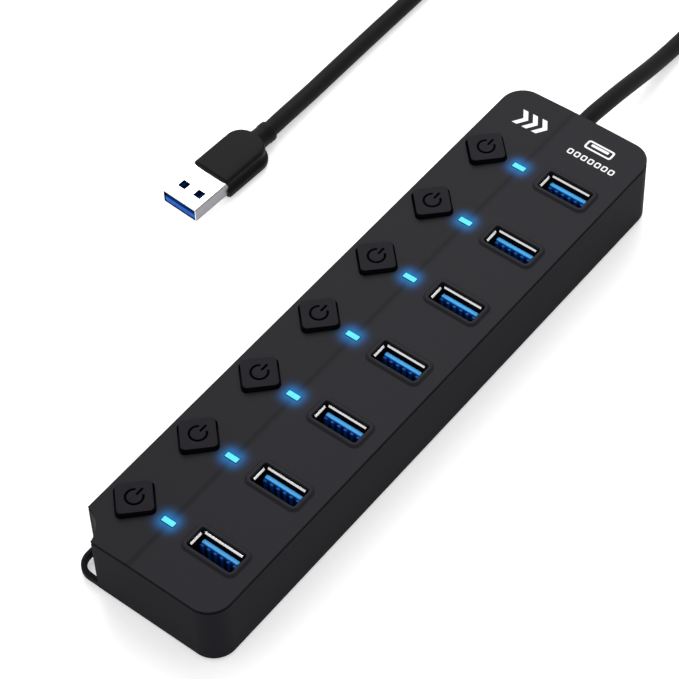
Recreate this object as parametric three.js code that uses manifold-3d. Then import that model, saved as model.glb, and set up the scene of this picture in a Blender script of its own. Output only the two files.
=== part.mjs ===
// A seven port desktop USB hub with a switch and a light for each port, and its captive cord and plug.
// Millimetres, +Z up. The case's long side runs along Y, the cord leaves the far end (+Y), and the feet stand on z = 0.
import * as THREE from "three";
import { mergeVertices } from "three/addons/utils/BufferGeometryUtils.js";
import Module from "manifold-3d";

const wasm = await Module();
wasm.setup();

// ---- driving dimensions ----
const ROWS = 7;
const ROW_PITCH = 23.5;
const ROW_MIDDLE_Y = -4.7;

const CASE_LENGTH = 181;
const CASE_WIDTH = 45;
const CASE_BASE = 0.8; // height of the case's underside above the table
const CASE_TOP = 21; // level part of the top face
const CORNER_R = 6.4;
const WALL = 1.2;
const FLOOR = 1.8;
const CREASE_X = -3.6; // the top face falls away from here to the left edge
const ROOF_DROP = 0.75;
const RIM_T = 0.6; // visible edge of the top cover
const SEAM = 0.3;
const COVER_T = 1.8;

const SCOOP_R = 9.12; // hollowed near left corner
const SCOOP_OFFSET = 1.67; // its centre, outside the case by this much each way
const BAR_BULGE = 1; // the lanyard bar stands out of the left side by this much
const BAR_TOP = 3.2;
const BAR_W = 1.5;

const BOARD_Z = 3.8;
const BOARD_T = 1.6;
const BOARD_TOP = BOARD_Z + BOARD_T;
const BOARD_LENGTH = 160;
const BOARD_WIDTH = 41.4;
const GAP = 0.3; // between pieces that touch

const PORT_X = 10.5;
const PORT_SHIFT_Y = 0.4;
const SHELL_W = 13.1;
const SHELL_D = 5.7;
const SHELL_T = 0.3;
const BEZEL_W = 16.2;
const BEZEL_D = 8.7;
const BEZEL_H = 0.5;
const TONGUE_W = 11.1;
const TONGUE_T = 1.84;
const TONGUE_Y = 0.91;
const TONGUE_TOP = 18.6;

const LIGHT_X = -3.9;
const LIGHT_W = 3.8;
const LIGHT_D = 1.8;

const BUTTON_X = -14.6;
const BUTTON_SIDE = 9.4;
const BUTTON_R = 1.2;
const BUTTON_TOP = 22;
const SWITCH_SIDE = 8;
const SWITCH_TOP = 13;
const PLUNGER_SIDE = 3.2;
const WELL_FLOOR = 7;

const SCREWS = [
  [-16.2, 84.5],
  [16.2, 84.5],
  [-9.5, -84.5],
  [16.2, -84.5],
];
const FEET = [
  [-14.5, 73],
  [14.5, 73],
  [-14.5, -70],
  [14.5, -70],
];
const FOOT_R = 4;
const FOOT_H = 1.1;

const CORD_X = -4.5;
const CORD_Z = 11;
const CORD_D = 4.8;
const COLLAR_R = 3.4;
const COLLAR_LENGTH = 5;

const PLUG_X = -75.8; // where the cord enters the plug
const PLUG_Y = 49.2;
const PLUG_Z = 3.4;
const PLUG_TURN = THREE.MathUtils.degToRad(-2.9);
const PLUG_SHELL_W = 12;
const PLUG_SHELL_H = 4.5;
const PLUG_SHELL_OUT = 12.5; // length of shell that shows
const PLUG_SHELL_IN = 6;
const GRIP_W = 14.2;
const GRIP_H = 6.8;
const GRIP_LENGTH = 18;
const NECK_LENGTH = 5.5;
const NECK_R = 3.1;

// The cord's centre line, in the hub's frame: out of the collar, down to the table, round a wide bend and back.
const CORD_ROUTE = [
  [-4.5, 100, 10.9],
  [-4.4, 106, 10.2],
  [-4.4, 113, 9],
  [-4.5, 120, 7.4],
  [-4.7, 128, 5.4],
  [-5, 136, 3.6],
  [-5.1, 144, 2.6],
  [-5.1, 151, 2.4],
  [-5.6, 163, 2.4],
  [-9.5, 178, 2.4],
  [-18.5, 191, 2.4],
  [-32, 198.5, 2.4],
  [-48, 198.5, 2.4],
  [-62, 191, 2.4],
  [-71, 178.5, 2.4],
  [-75.2, 163, 2.4],
  [-76.2, 147, 2.4],
  [-76.2, 130, 2.4],
  [-76.2, 113, 2.4],
  [-76.3, 96, 2.4],
  [-76.3, 80, 2.4],
  [-76.2, 69, 2.5],
  [-76.1, 62, 2.8],
  [-75.95, 56, 3.2],
];

const materials = {
  cover: new THREE.MeshStandardMaterial({ color: 0x3a393e, roughness: 0.6, metalness: 0 }),
  tub: new THREE.MeshStandardMaterial({ color: 0x29292d, roughness: 0.6, metalness: 0 }),
  button: new THREE.MeshStandardMaterial({ color: 0x333236, roughness: 0.55, metalness: 0 }),
  steel: new THREE.MeshStandardMaterial({ color: 0xd8dade, roughness: 0.2, metalness: 1 }),
  blue: new THREE.MeshStandardMaterial({ color: 0x1e6fc0, roughness: 0.45, metalness: 0 }),
  light: new THREE.MeshStandardMaterial({ color: 0x8df2ff, emissive: 0x4fd8ff, roughness: 0.3, metalness: 0 }),
  board: new THREE.MeshStandardMaterial({ color: 0x14532d, roughness: 0.5, metalness: 0 }),
  chip: new THREE.MeshStandardMaterial({ color: 0x151515, roughness: 0.6, metalness: 0 }),
  plunger: new THREE.MeshStandardMaterial({ color: 0xe8e6df, roughness: 0.5, metalness: 0 }),
  rubber: new THREE.MeshStandardMaterial({ color: 0x1a1a1c, roughness: 0.85, metalness: 0 }),
  screw: new THREE.MeshStandardMaterial({ color: 0x8b8b8f, roughness: 0.35, metalness: 1 }),
};

// ---- helpers ----
function solid(geometry) {
  const bare = geometry.clone();
  bare.deleteAttribute("normal");
  bare.deleteAttribute("uv");
  const merged = mergeVertices(bare, 1e-4);
  const vertProperties = new Float32Array(merged.attributes.position.array);
  const triVerts = new Uint32Array(merged.index.array);
  return new wasm.Manifold(new wasm.Mesh({ numProp: 3, vertProperties, triVerts }));
}

function geometryOf(body) {
  const mesh = body.getMesh();
  const geometry = new THREE.BufferGeometry();
  geometry.setAttribute("position", new THREE.BufferAttribute(new Float32Array(mesh.vertProperties), 3));
  geometry.setIndex(new THREE.BufferAttribute(new Uint32Array(mesh.triVerts), 1));
  geometry.computeVertexNormals();
  return geometry;
}

function piece(parent, name, body, material) {
  const mesh = new THREE.Mesh(geometryOf(body), material);
  mesh.name = name;
  parent.add(mesh);
  return mesh;
}

// A box from its two ends along each axis.
function block(x0, x1, y0, y1, z0, z1) {
  const box = new THREE.BoxGeometry(x1 - x0, y1 - y0, z1 - z0);
  return solid(box.translate((x0 + x1) / 2, (y0 + y1) / 2, (z0 + z1) / 2));
}

// A box centred on (x, y), from z0 up to z1.
function post(x, y, width, depth, z0, z1) {
  return block(x - width / 2, x + width / 2, y - depth / 2, y + depth / 2, z0, z1);
}

// An upright cylinder.
function rod(x, y, radius, z0, z1, sides = 16) {
  const cylinder = new THREE.CylinderGeometry(radius, radius, z1 - z0, sides);
  return solid(cylinder.rotateX(Math.PI / 2).translate(x, y, (z0 + z1) / 2));
}

function roundedRect(width, length, radius) {
  const [a, b] = [width / 2, length / 2];
  const shape = new THREE.Shape();
  shape.moveTo(a, -b + radius);
  shape.lineTo(a, b - radius);
  shape.absarc(a - radius, b - radius, radius, 0, Math.PI / 2);
  shape.lineTo(-a + radius, b);
  shape.absarc(-a + radius, b - radius, radius, Math.PI / 2, Math.PI);
  shape.lineTo(-a, -b + radius);
  shape.absarc(-a + radius, -b + radius, radius, Math.PI, Math.PI * 1.5);
  shape.lineTo(a - radius, -b);
  shape.absarc(a - radius, -b + radius, radius, Math.PI * 1.5, Math.PI * 2);
  return shape;
}

function prism(shape, z0, z1, curveSegments = 6) {
  const geometry = new THREE.ExtrudeGeometry(shape, { depth: z1 - z0, bevelEnabled: false, curveSegments });
  return solid(geometry.translate(0, 0, z0));
}

// The same prism turned by an angle about its own upright axis and moved to (x, y).
function prismAt(shape, x, y, z0, z1, turn = 0, curveSegments = 3) {
  const geometry = new THREE.ExtrudeGeometry(shape, { depth: z1 - z0, bevelEnabled: false, curveSegments });
  return solid(geometry.rotateZ(turn).translate(x, y, z0));
}

function rowY(row) {
  return ROW_MIDDLE_Y + ROW_PITCH * ((ROWS + 1) / 2 - row);
}

function portY(row) {
  return rowY(row) + PORT_SHIFT_Y;
}

function roofAt(x) {
  const fall = (CREASE_X - x) / (CASE_WIDTH / 2 + CREASE_X);
  return CASE_TOP - ROOF_DROP * Math.max(0, fall);
}

// ---- case ----
// The case's outline drawn in by an inset, with the scooped corner, from z0 to z1.
function caseBlank(inset, z0, z1) {
  const outline = roundedRect(CASE_WIDTH - 2 * inset, CASE_LENGTH - 2 * inset, CORNER_R - inset);
  const scoopX = -CASE_WIDTH / 2 - SCOOP_OFFSET;
  const scoopY = -CASE_LENGTH / 2 - SCOOP_OFFSET;
  const scoop = rod(scoopX, scoopY, SCOOP_R + inset, z0 - 1, z1 + 1, 48);
  return prism(outline, z0, z1).subtract(scoop);
}

// Everything under the top face lowered by a depth.
function underRoof(depth) {
  const edge = CASE_WIDTH / 2 + 3;
  const profile = new THREE.Shape();
  profile.moveTo(-edge, 0);
  profile.lineTo(edge, 0);
  profile.lineTo(edge, CASE_TOP - depth);
  profile.lineTo(CREASE_X, CASE_TOP - depth);
  profile.lineTo(-edge, roofAt(-edge) - depth);
  const slab = new THREE.ExtrudeGeometry(profile, { depth: CASE_LENGTH + 10, bevelEnabled: false });
  return solid(slab.rotateX(Math.PI / 2).translate(0, CASE_LENGTH / 2 + 5, 0));
}

// The bar across the scooped corner that a wrist strap loops round.
function lanyardBar() {
  const outerX = -CASE_WIDTH / 2 - BAR_BULGE;
  const outerY = -CASE_LENGTH / 2;
  const outerR = 5;
  const innerR = outerR - BAR_W;
  const [cx, cy] = [outerX + outerR, outerY + outerR];
  const [sideEnd, nearEnd] = [outerY + 14, outerX + 10.5];
  const bar = new THREE.Shape();
  bar.moveTo(outerX + BAR_BULGE + 0.2, sideEnd);
  bar.bezierCurveTo(outerX + BAR_BULGE, sideEnd - 3, outerX, sideEnd - 3, outerX, sideEnd - 6);
  bar.lineTo(outerX, cy);
  bar.absarc(cx, cy, outerR, Math.PI, Math.PI * 1.5);
  bar.lineTo(nearEnd, outerY);
  bar.lineTo(nearEnd, outerY + BAR_W - 0.4);
  bar.lineTo(cx, outerY + BAR_W);
  bar.absarc(cx, cy, innerR, Math.PI * 1.5, Math.PI, true);
  bar.lineTo(outerX + BAR_W, sideEnd);
  return prism(bar, CASE_BASE, BAR_TOP, 6);
}

function bottomCase() {
  let tub = caseBlank(0, CASE_BASE, CASE_TOP).intersect(underRoof(RIM_T + SEAM));
  tub = tub.subtract(caseBlank(WALL, CASE_BASE + FLOOR, CASE_TOP + 1)).add(lanyardBar());
  const floorTop = CASE_BASE + FLOOR;
  for (const [x, y] of SCREWS) tub = tub.add(rod(x, y, 3.6, floorTop - 0.5, 10));
  for (const [x, y] of SCREWS) {
    tub = tub.subtract(rod(x, y, 1.4, 0, 11)).subtract(rod(x, y, 2.9, 0, 3.2));
  }
  for (const [x, y] of FEET) tub = tub.subtract(rod(x, y, FOOT_R + GAP, 0, CASE_BASE + 0.6));
  for (const y of [-62, 8, 54]) {
    for (const x of [-18, 18]) tub = tub.add(rod(x, y, 2, floorTop - 0.5, BOARD_Z - GAP, 12));
  }
  return tub.subtract(glandHole());
}

// The hole in the far wall that the strain relief passes through.
function glandHole() {
  const hole = new THREE.CylinderGeometry(3.9, 3.9, 6, 24);
  return solid(hole.translate(CORD_X, CASE_LENGTH / 2, CORD_Z));
}

// The raised rim round a port, whose sides slope in towards the top.
function bezel(row) {
  const outline = roundedRect(BEZEL_W, BEZEL_D, 2);
  const inner = roundedRect(BEZEL_W - 1.2, BEZEL_D - 1.2, 1.4);
  const low = prismAt(outline, PORT_X, portY(row), CASE_TOP - 0.5, CASE_TOP + 0.2);
  return low.add(prismAt(inner, PORT_X, portY(row), CASE_TOP - 0.5, CASE_TOP + BEZEL_H));
}

function topCover() {
  let cover = caseBlank(0, CASE_TOP - 3, CASE_TOP + 1).intersect(underRoof(0)).subtract(underRoof(RIM_T));
  const body = caseBlank(WALL + GAP, CASE_TOP - 5, CASE_TOP + 1);
  cover = cover.add(body.intersect(underRoof(0)).subtract(underRoof(COVER_T)));
  for (const [x, y] of SCREWS) cover = cover.add(rod(x, y, 3, 10 + GAP, roofAt(x) - 1));
  for (const [x, y] of SCREWS) cover = cover.subtract(rod(x, y, 1.4, 10, 15.5));
  for (let row = 1; row <= ROWS; row++) cover = cover.add(bezel(row));
  for (let row = 1; row <= ROWS; row++) cover = cover.subtract(rowOpenings(row));
  return cover;
}

// The port's, the light's and the button's holes in one row of the top cover.
function rowOpenings(row) {
  const [low, high] = [CASE_TOP - 6, CASE_TOP + 2];
  const port = prismAt(roundedRect(SHELL_W + 0.6, SHELL_D + 0.6, 0.6), PORT_X, portY(row), low, high, 0, 2);
  const light = post(LIGHT_X, rowY(row), LIGHT_W + 0.2, LIGHT_D + 0.2, low, high);
  const side = BUTTON_SIDE + 2 * GAP;
  const hole = roundedRect(side, side, BUTTON_R + GAP);
  const button = prismAt(hole, BUTTON_X, rowY(row), low, high, Math.PI / 4);
  return port.add(light).add(button);
}

function foot(x, y) {
  return rod(x, y, FOOT_R, 0, FOOT_H);
}

function screw(x, y) {
  const head = rod(x, y, 2.5, 1.3, 2.9);
  const slot = post(x, y, 0.7, 3, 1, 2.1).add(post(x, y, 3, 0.7, 1, 2.1));
  return head.add(rod(x, y, 1.1, 2.5, 14.5, 12)).subtract(slot);
}

// ---- ports ----
function portShell(row) {
  const [z0, z1] = [BOARD_TOP + GAP, CASE_TOP + BEZEL_H - GAP];
  const outer = prismAt(roundedRect(SHELL_W, SHELL_D, 0.5), PORT_X, portY(row), z0, z1, 0, 3);
  const hollow = post(PORT_X, portY(row), SHELL_W - 2 * SHELL_T, SHELL_D - 2 * SHELL_T, z0 - 1, z1 + 1);
  return outer.subtract(hollow);
}

function portInsulator(row) {
  const y = portY(row);
  const base = post(PORT_X, y, SHELL_W - 2 * SHELL_T - 0.6, SHELL_D - 2 * SHELL_T - 0.6, BOARD_TOP + GAP, 9.5);
  return base.add(post(PORT_X, y + TONGUE_Y, TONGUE_W, TONGUE_T, 9, TONGUE_TOP));
}

// ---- buttons ----
function switchBody(row) {
  const y = rowY(row);
  const body = post(BUTTON_X, y, SWITCH_SIDE, SWITCH_SIDE, BOARD_TOP + GAP, SWITCH_TOP);
  return body.subtract(post(BUTTON_X, y, PLUNGER_SIDE + 0.8, PLUNGER_SIDE + 0.8, WELL_FLOOR, SWITCH_TOP + 1));
}

function switchPlunger(row) {
  return post(BUTTON_X, rowY(row), PLUNGER_SIDE, PLUNGER_SIDE, 9.3, 16.2);
}

// A hollow cap with a flange that the cover holds down and a socket that sits over the plunger.
function buttonCap(row) {
  const y = rowY(row);
  const turn = Math.PI / 4;
  const [flangeBase, flangeTop] = [17.1, 18.1];
  const square = (side, radius) => roundedRect(side, side, radius);
  const skirt = prismAt(square(BUTTON_SIDE, BUTTON_R), BUTTON_X, y, flangeBase, BUTTON_TOP, turn);
  const flange = prismAt(square(BUTTON_SIDE + 1.6, 0.5), BUTTON_X, y, flangeBase, flangeTop, turn);
  const trimmed = flange.intersect(rod(BUTTON_X, y, 6.1, 16, 20, 24));
  const hollow = prismAt(square(BUTTON_SIDE - 2.4, 0.4), BUTTON_X, y, 16, BUTTON_TOP - 1.6, turn);
  const stem = post(BUTTON_X, y, 5.4, 5.4, 15, BUTTON_TOP - 1);
  const socket = post(BUTTON_X, y, PLUNGER_SIDE + 0.6, PLUNGER_SIDE + 0.6, 14, 16.5);
  return skirt.add(trimmed).subtract(hollow).add(stem).subtract(socket);
}

// ---- board ----
function circuitBoard() {
  let board = post(0, 0, BOARD_WIDTH, BOARD_LENGTH, BOARD_Z, BOARD_TOP);
  for (let row = 1; row <= ROWS; row++) {
    board = board.add(post(LIGHT_X, rowY(row), 3.2, 1.6, BOARD_TOP - 0.2, BOARD_TOP + 0.7));
  }
  return board;
}

function hubController(y) {
  return post(PORT_X - 2, y, 8, 8, BOARD_TOP + GAP, BOARD_TOP + GAP + 1);
}

// A stepped clear post from the board's light up to its window.
function lightGuide(row) {
  const shoulder = new THREE.Shape();
  const outline = [
    [1.5, 6.5],
    [1.5, 17],
    [2.6, 17],
    [2.6, 18.8],
    [LIGHT_W / 2, 18.8],
    [LIGHT_W / 2, CASE_TOP - 0.02],
  ];
  const mirrored = outline.map(([x, z]) => [-x, z]).reverse();
  shoulder.setFromPoints([...outline, ...mirrored].map(([x, z]) => new THREE.Vector2(x, z)));
  const guide = new THREE.ExtrudeGeometry(shoulder, { depth: LIGHT_D, bevelEnabled: false });
  return solid(guide.rotateX(Math.PI / 2).translate(LIGHT_X, rowY(row) + LIGHT_D / 2, 0));
}

// ---- cord and plug ----
function strainRelief() {
  const wallInside = CASE_LENGTH / 2 - WALL;
  const collarEnd = CASE_LENGTH / 2 + COLLAR_LENGTH;
  const profile = [
    [0, wallInside - 2.3],
    [5.5, wallInside - 2.3],
    [5.5, wallInside - GAP],
    [3.6, wallInside - GAP],
    [3.6, CASE_LENGTH / 2 + 0.5],
    [COLLAR_R, collarEnd - 0.4],
    [COLLAR_R - 0.4, collarEnd],
    [0, collarEnd],
  ];
  const lathe = new THREE.LatheGeometry(profile.map(([r, y]) => new THREE.Vector2(r, y)), 24);
  return solid(lathe.translate(CORD_X, 0, CORD_Z));
}

function cordTube() {
  const start = new THREE.Vector3(CORD_X, CASE_LENGTH / 2 + COLLAR_LENGTH + GAP, CORD_Z);
  const away = new THREE.Vector3(-Math.sin(PLUG_TURN), Math.cos(PLUG_TURN), 0);
  const plug = new THREE.Vector3(PLUG_X, PLUG_Y, PLUG_Z);
  const end = plug.addScaledVector(away, GAP);
  const route = CORD_ROUTE.map((point) => new THREE.Vector3(...point));
  const path = new THREE.CatmullRomCurve3([start, ...route, end]);
  const section = new THREE.Shape().absarc(0, 0, CORD_D / 2, 0, Math.PI * 2);
  const options = { extrudePath: path, steps: 44, curveSegments: 5, bevelEnabled: false };
  return solid(new THREE.ExtrudeGeometry(section, options));
}

// Plug pieces are drawn with the cord's end at the origin and the nose towards -Y.
const GRIP_REAR = -NECK_LENGTH;
const GRIP_FRONT = GRIP_REAR - GRIP_LENGTH;
const PLUG_NOSE = GRIP_FRONT - PLUG_SHELL_OUT;

function plugCover() {
  const [w, h] = [GRIP_W / 2, GRIP_H / 2];
  const half = [
    [w - 1.4, h],
    [w - 0.7, h - 1.6],
    [w - 1, 0.5],
    [w, -0.3],
    [w, -h + 1.3],
    [w - 1, -h],
  ];
  const section = new THREE.Shape();
  const mirrored = half.map(([x, z]) => [-x, z]).reverse();
  section.setFromPoints([...half, ...mirrored].map(([x, z]) => new THREE.Vector2(x, z)));
  const run = new THREE.ExtrudeGeometry(section, { depth: GRIP_LENGTH, bevelEnabled: false });
  const bar = solid(run.rotateX(Math.PI / 2).translate(0, GRIP_REAR, 0));
  const plan = roundedRect(GRIP_W + 0.2, GRIP_LENGTH + 8, 4.5);
  const rounded = prismAt(plan, 0, GRIP_REAR - GRIP_LENGTH / 2 - 4, -h - 1, h + 1, 0, 8);
  const neck = new THREE.CylinderGeometry(NECK_R, NECK_R, NECK_LENGTH + 1, 24);
  const grip = bar.intersect(rounded).add(solid(neck.translate(0, -(NECK_LENGTH + 1) / 2, 0)));
  const [pw, ph] = [PLUG_SHELL_W / 2 + 0.15, PLUG_SHELL_H / 2 + 0.15];
  return grip.subtract(block(-pw, pw, GRIP_FRONT - 1, GRIP_FRONT + PLUG_SHELL_IN + GAP, -ph, ph));
}

function plugShell() {
  const outline = roundedRect(PLUG_SHELL_W, PLUG_SHELL_H, 0.4);
  const length = PLUG_SHELL_OUT + PLUG_SHELL_IN;
  const tube = new THREE.ExtrudeGeometry(outline, { depth: length, bevelEnabled: false, curveSegments: 3 });
  const [w, h] = [PLUG_SHELL_W / 2 - SHELL_T, PLUG_SHELL_H / 2 - SHELL_T];
  let shell = solid(tube.rotateX(Math.PI / 2).translate(0, PLUG_NOSE + length, 0));
  shell = shell.subtract(block(-w, w, PLUG_NOSE - 1, PLUG_NOSE + length + 1, -h, h));
  for (const x of [-2.75, 2.75]) {
    shell = shell.subtract(post(x, PLUG_NOSE + 5.15, 2.3, 2.3, -PLUG_SHELL_H, PLUG_SHELL_H));
  }
  return shell;
}

function plugInsulator() {
  const w = PLUG_SHELL_W / 2 - SHELL_T - 0.2;
  const base = -PLUG_SHELL_H / 2 + SHELL_T + 0.1;
  const back = PLUG_NOSE + PLUG_SHELL_OUT + PLUG_SHELL_IN;
  const tongue = block(-w, w, PLUG_NOSE + 0.3, back, base, base + 1.9);
  return tongue.add(block(-w, w, back - 8, back, base, -base));
}

// ---- assembly ----
const hub = new THREE.Group();

piece(hub, "top_cover", topCover(), materials.cover);
piece(hub, "bottom_case", bottomCase(), materials.tub);
piece(hub, "circuit_board", circuitBoard(), materials.board);
for (let row = 1; row <= ROWS; row++) {
  piece(hub, `port_shell_${row}`, portShell(row), materials.steel);
  piece(hub, `port_insulator_${row}`, portInsulator(row), materials.blue);
  piece(hub, `light_guide_${row}`, lightGuide(row), materials.light);
  piece(hub, `switch_body_${row}`, switchBody(row), materials.chip);
  piece(hub, `switch_plunger_${row}`, switchPlunger(row), materials.plunger);
  piece(hub, `button_cap_${row}`, buttonCap(row), materials.button);
}
[portY(2) - ROW_PITCH / 2, portY(5) - ROW_PITCH / 2].forEach((y, i) => {
  piece(hub, `hub_controller_${i + 1}`, hubController(y), materials.chip);
});
SCREWS.forEach(([x, y], i) => piece(hub, `screw_${i + 1}`, screw(x, y), materials.screw));
FEET.forEach(([x, y], i) => piece(hub, `foot_${i + 1}`, foot(x, y), materials.rubber));
piece(hub, "strain_relief", strainRelief(), materials.rubber);
piece(hub, "cord", cordTube(), materials.rubber);

const plug = new THREE.Group();
piece(plug, "plug_cover", plugCover(), materials.button);
piece(plug, "plug_shell", plugShell(), materials.steel);
piece(plug, "plug_insulator", plugInsulator(), materials.blue);
plug.position.set(PLUG_X, PLUG_Y, PLUG_Z);
plug.rotation.z = PLUG_TURN;
hub.add(plug);

// The origin is the middle of the whole hub's footprint, and the lanyard bar widens that on one side.
hub.position.x = BAR_BULGE / 2;
const usbHub = new THREE.Group();
usbHub.add(hub);

export default usbHub;
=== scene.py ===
"""The looks of a seven port desktop USB hub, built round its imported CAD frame.

Shapes are worked out in millimetres and made in metres.
"""
import math

import bmesh
import bpy
from mathutils import Matrix, Vector
from mathutils.geometry import interpolate_bezier


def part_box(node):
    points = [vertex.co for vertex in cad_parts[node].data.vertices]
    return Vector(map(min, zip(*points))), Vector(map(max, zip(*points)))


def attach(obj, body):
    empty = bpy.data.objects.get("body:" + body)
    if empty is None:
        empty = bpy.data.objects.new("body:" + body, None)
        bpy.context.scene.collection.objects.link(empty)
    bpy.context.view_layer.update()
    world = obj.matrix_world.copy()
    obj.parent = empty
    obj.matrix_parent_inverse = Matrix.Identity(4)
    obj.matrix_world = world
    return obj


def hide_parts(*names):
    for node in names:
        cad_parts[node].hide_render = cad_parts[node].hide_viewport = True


MM = 0.001
ROWS = range(1, 8)

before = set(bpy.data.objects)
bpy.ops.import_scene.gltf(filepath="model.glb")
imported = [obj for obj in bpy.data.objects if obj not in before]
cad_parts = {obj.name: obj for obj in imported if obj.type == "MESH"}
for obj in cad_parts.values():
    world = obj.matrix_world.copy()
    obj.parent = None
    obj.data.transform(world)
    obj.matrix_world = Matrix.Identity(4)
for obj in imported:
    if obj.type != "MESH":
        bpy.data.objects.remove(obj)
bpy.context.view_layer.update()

# ---- sizes in millimetres, in the CAD model's own frame ----
MIDDLE_X = 0.5  # the case's middle, which the lanyard bar moves off the origin
CASE_L, CASE_W, CORNER_R = 181.0, 45.0, 6.4
CASE_BASE, CASE_TOP, RIM_T, SEAM = 0.8, 21.0, 0.6, 0.3
WALL, COVER_T, FLOOR_T = 1.2, 1.8, 1.8
CREASE_X, ROOF_DROP = -3.6, 0.75
GROOVE_W, GROOVE_D = 1.2, 0.08
SCOOP_R, SCOOP_OFFSET = 9.12, 1.67
BAR_BULGE, BAR_W, BAR_TOP = 1.0, 1.5, 3.2
FOOT_R, FOOT_H, FOOT_GAP = 4.0, 1.1, 0.3
SCREW_WELL_R, SCREW_WELL_TOP = 2.9, 3.2

SHELL_W, SHELL_D, SHELL_T = 13.1, 5.7, 0.3
MOUTH_DEPTH = 0.4  # the port shell's rim, below the cover's level top
LIP_SUNK = 0.25  # the near and right lips are folded a little lower
BEZEL_W, BEZEL_D, BEZEL_H = 16.7, 9.2, 0.5
PORT_HOLE_W, PORT_HOLE_D = 14.1, 6.7
TONGUE_W, TONGUE_T, TONGUE_Y = 11.1, 1.84, 0.91
CONTACT_PITCH, CHANNEL_W = 2.0, 1.15

WINDOW_W, WINDOW_D = 3.75, 1.65
WINDOW_HOLE_W, WINDOW_HOLE_D = 4.0, 1.95
BUTTON_SIDE, BUTTON_R, BUTTON_HOLE = 9.1, 1.2, 10.0
BUTTON_TURN = 45  # degrees, so that each button is set as a diamond

CORD_D = 4.8
COLLAR_END = Vector((-4.0, 95.5, 11.0))
PLUG_ENTRY = Vector((-75.3, 49.2, 3.4))
PLUG_TURN = math.radians(-2.9)
GRIP_REAR, GRIP_FRONT, PLUG_NOSE = -5.5, -23.5, -36.0
GRIP_W, GRIP_H, GRIP_CORNER = 14.2, 6.8, 4.6
PLUG_W, PLUG_H, PLUG_SHELL_L = 12.0, 4.5, 18.5

# ---- camera and lights ----
CAMERA_PLACE = Vector((269.4, -329.5, 548.2))
CAMERA_TARGET = Vector((-5.2, -7.7, 21.0))
CAMERA_LENS = 144.2
CAMERA_ROLL = math.radians(-2.82)
WORLD_LIGHT = 0.75
KEY_PLACE, KEY_TARGET = (-0.38, 0.46, 0.66), (0, 0.05, 0)  # metres
KEY_SIZE, KEY_POWER = 0.75, 5.6
FLOOR_REACH = 6.0  # metres
FLOOR_GLOW = 0.42

# The cord's centre line, as in the CAD model, from the collar to the plug.
CORD_ROUTE = [
    (-4.0, 100, 10.9),
    (-3.9, 106, 10.2),
    (-3.9, 113, 9),
    (-4.0, 120, 7.4),
    (-4.2, 128, 5.4),
    (-4.5, 136, 3.6),
    (-4.6, 144, 2.6),
    (-4.6, 151, 2.4),
    (-5.1, 163, 2.4),
    (-9.0, 178, 2.4),
    (-18.0, 191, 2.4),
    (-31.5, 198.5, 2.4),
    (-47.5, 198.5, 2.4),
    (-61.5, 191, 2.4),
    (-70.5, 178.5, 2.4),
    (-74.7, 163, 2.4),
    (-75.7, 147, 2.4),
    (-75.7, 130, 2.4),
    (-75.7, 113, 2.4),
    (-75.8, 96, 2.4),
    (-75.8, 80, 2.4),
    (-75.7, 69, 2.5),
    (-75.6, 62, 2.8),
    (-75.45, 56, 3.2),
]


def centre(node):
    """The middle of a CAD node's box, in millimetres."""
    low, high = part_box(node)
    return (low + high) / 2 / MM


PORTS = {row: centre(f"port_shell_{row}") for row in ROWS}
LIGHTS = {row: centre(f"light_guide_{row}") for row in ROWS}
BUTTONS = {row: centre(f"button_cap_{row}") for row in ROWS}


# ---- camera, lights and floor ----
def make_camera():
    """The camera, at its place and turned to its target."""
    camera = bpy.data.objects.new("camera", bpy.data.cameras.new("camera"))
    bpy.context.collection.objects.link(camera)
    camera.data.sensor_width = 36
    camera.data.lens = CAMERA_LENS
    place = CAMERA_PLACE * MM
    target = CAMERA_TARGET * MM
    turn = (target - place).to_track_quat("-Z", "Y").to_matrix().to_4x4()
    roll = Matrix.Rotation(CAMERA_ROLL, 4, "Z")
    camera.matrix_world = Matrix.Translation(place) @ turn @ roll
    bpy.context.scene.camera = camera


def make_key_light():
    """One broad softbox, behind and to the left, whose reflection spreads over the level top."""
    light = bpy.data.lights.new("key", "AREA")
    light.shape = "SQUARE"
    light.size = KEY_SIZE
    light.energy = KEY_POWER
    lamp = bpy.data.objects.new("key", light)
    bpy.context.collection.objects.link(lamp)
    lamp.location = KEY_PLACE
    lamp.rotation_mode = "QUATERNION"
    lamp.rotation_quaternion = (Vector(KEY_TARGET) - Vector(KEY_PLACE)).to_track_quat("-Z", "Y")


def make_studio():
    """An even white surround, the key light, and a pale floor."""
    scene = bpy.context.scene
    scene.view_settings.view_transform = "Standard"
    world = bpy.data.worlds.new("studio")
    world.use_nodes = True
    background = world.node_tree.nodes["Background"]
    background.inputs["Color"].default_value = (1, 1, 1, 1)
    background.inputs["Strength"].default_value = WORLD_LIGHT
    scene.world = world
    make_key_light()
    mesh = bpy.data.meshes.new("floor")
    reach = FLOOR_REACH
    corners = [(-reach, -reach, 0), (reach, -reach, 0), (reach, reach, 0), (-reach, reach, 0)]
    mesh.from_pydata(corners, [], [(0, 1, 2, 3)])
    floor = bpy.data.objects.new("floor", mesh)
    bpy.context.collection.objects.link(floor)
    floor.data.materials.append(floor_material())


# ---- materials ----
def new_material(name, **values):
    """A Principled material with its sockets set by name."""
    material = bpy.data.materials.new(name)
    material.use_nodes = True
    shader = material.node_tree.nodes["Principled BSDF"]
    for socket, value in values.items():
        shader.inputs[socket.replace("_", " ")].default_value = value
    return material, material.node_tree, shader


def floor_material():
    """A white floor that glows a little, so it stays pale under soft shadows."""
    material, _, shader = new_material("floor_white", Base_Color=(0.9, 0.9, 0.9, 1), Roughness=0.9)
    shader.inputs["Emission Color"].default_value = (1, 1, 1, 1)
    shader.inputs["Emission Strength"].default_value = FLOOR_GLOW
    return material


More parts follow.
